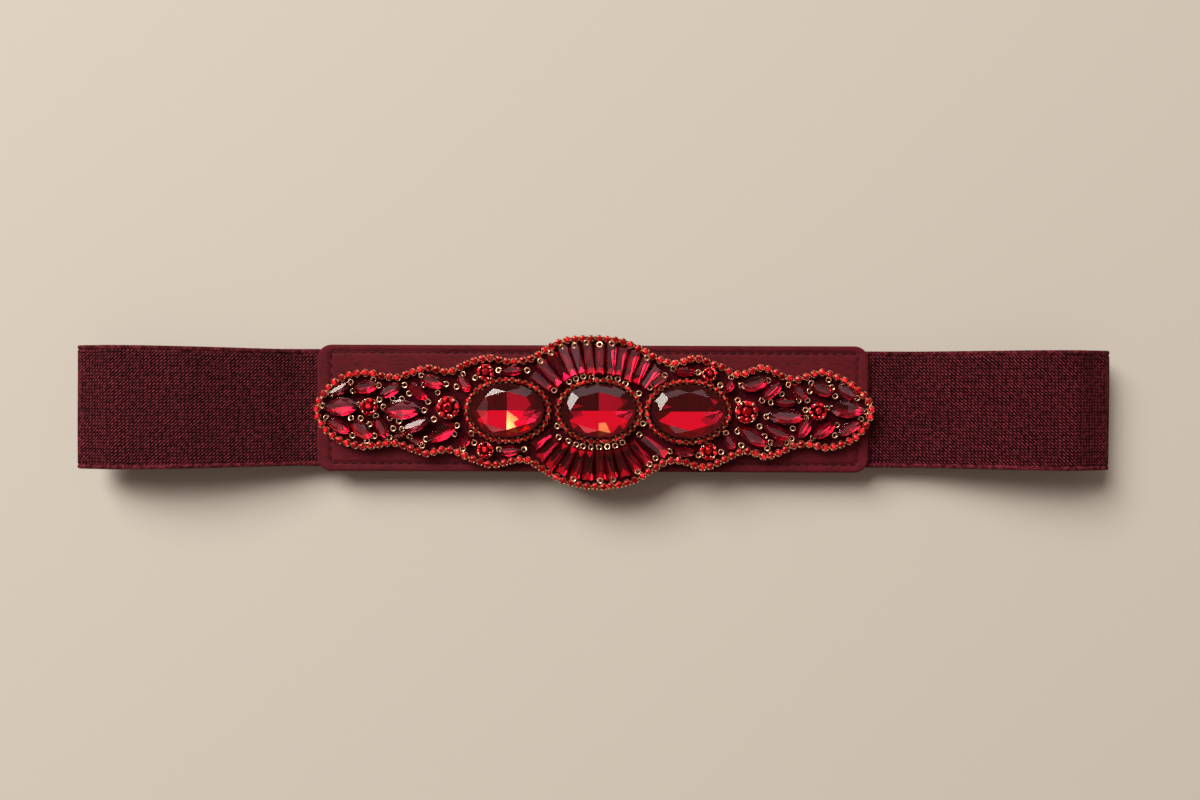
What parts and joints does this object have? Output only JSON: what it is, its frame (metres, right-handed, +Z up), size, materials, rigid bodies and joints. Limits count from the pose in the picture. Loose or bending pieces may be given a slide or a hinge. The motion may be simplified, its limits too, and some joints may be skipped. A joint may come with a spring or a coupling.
{
  "type": "elastic jewelled belt",
  "caption": "Wide elastic belt joined in a loop and lying flat, with a stitched patch that carries a wavy applique of large oval, pointed, round and baguette stones.",
  "frame": {"origin": "on the surface that the belt lies on, under the middle of its length and of the applique's height", "axes": "+X along the belt to its right fold, +Y across the belt to its upper edge, +Z up off the surface, out of the jewelled front"},
  "size_m": [0.345, 0.0516, 0.0173],
  "materials": {
    "elastic": "woven elastic webbing with a raised diagonal rib, matte",
    "patch_leathercloth": "soft suede-like leather cloth, low sheen",
    "backing_felt": "stiff felt, matte",
    "oval_crystal": "faceted foil-backed glass, polished",
    "rosette_crystal": "small foil-backed rhinestones, polished",
    "navette_crystal": "pointed foil-backed glass, polished",
    "baguette_crystal": "step-cut foil-backed glass, polished",
    "rhinestone_chain": "red rhinestones in gold-coloured cups, bright",
    "gold_setting": "gold-coloured plated metal, bright",
    "seed_beads": "round glass beads with a bright metal lining, glossy",
    "stitching": "twisted polyester thread"
  },
  "bodies": {
    "root": {"elastic_band": "elastic", "patch": "patch_leathercloth", "applique_backing": "backing_felt", "outer_rim": "rhinestone_chain", "oval_stone_left": "oval_crystal", "oval_rim_left": "rhinestone_chain", "oval_stone_centre": "oval_crystal", "oval_rim_centre": "rhinestone_chain", "oval_stone_right": "oval_crystal", "oval_rim_right": "rhinestone_chain", "rosette_1": "rosette_crystal", "rosette_2": "rosette_crystal", "rosette_3": "rosette_crystal", "rosette_4": "rosette_crystal", "rosette_5": "rosette_crystal", "rosette_6": "rosette_crystal", "rosette_7": "rosette_crystal", "rosette_8": "rosette_crystal", "navette_1": "navette_crystal", "navette_2": "navette_crystal", "navette_3": "navette_crystal", "navette_4": "navette_crystal", "navette_5": "navette_crystal", "navette_6": "navette_crystal", "navette_7": "navette_crystal", "navette_8": "navette_crystal", "navette_9": "navette_crystal", "navette_10": "navette_crystal", "navette_11": "navette_crystal", "navette_12": "navette_crystal", "navette_13": "navette_crystal", "navette_14": "navette_crystal", "navette_15": "navette_crystal", "navette_16": "navette_crystal", "navette_17": "navette_crystal", "navette_18": "navette_crystal", "navette_19": "navette_crystal", "navette_20": "navette_crystal", "navette_21": "navette_crystal", "navette_22": "navette_crystal", "navette_23": "navette_crystal", "navette_24": "navette_crystal", "navette_25": "navette_crystal", "navette_26": "navette_crystal", "navette_27": "navette_crystal", "navette_28": "navette_crystal", "navette_29": "navette_crystal", "navette_30": "navette_crystal", "navette_31": "navette_crystal", "navette_32": "navette_crystal", "navette_33": "navette_crystal", "navette_34": "navette_crystal", "navette_35": "navette_crystal", "navette_36": "navette_crystal", "baguette_fan_top": "baguette_crystal", "baguette_fan_bottom": "baguette_crystal"}
  },
  "joints": []
}
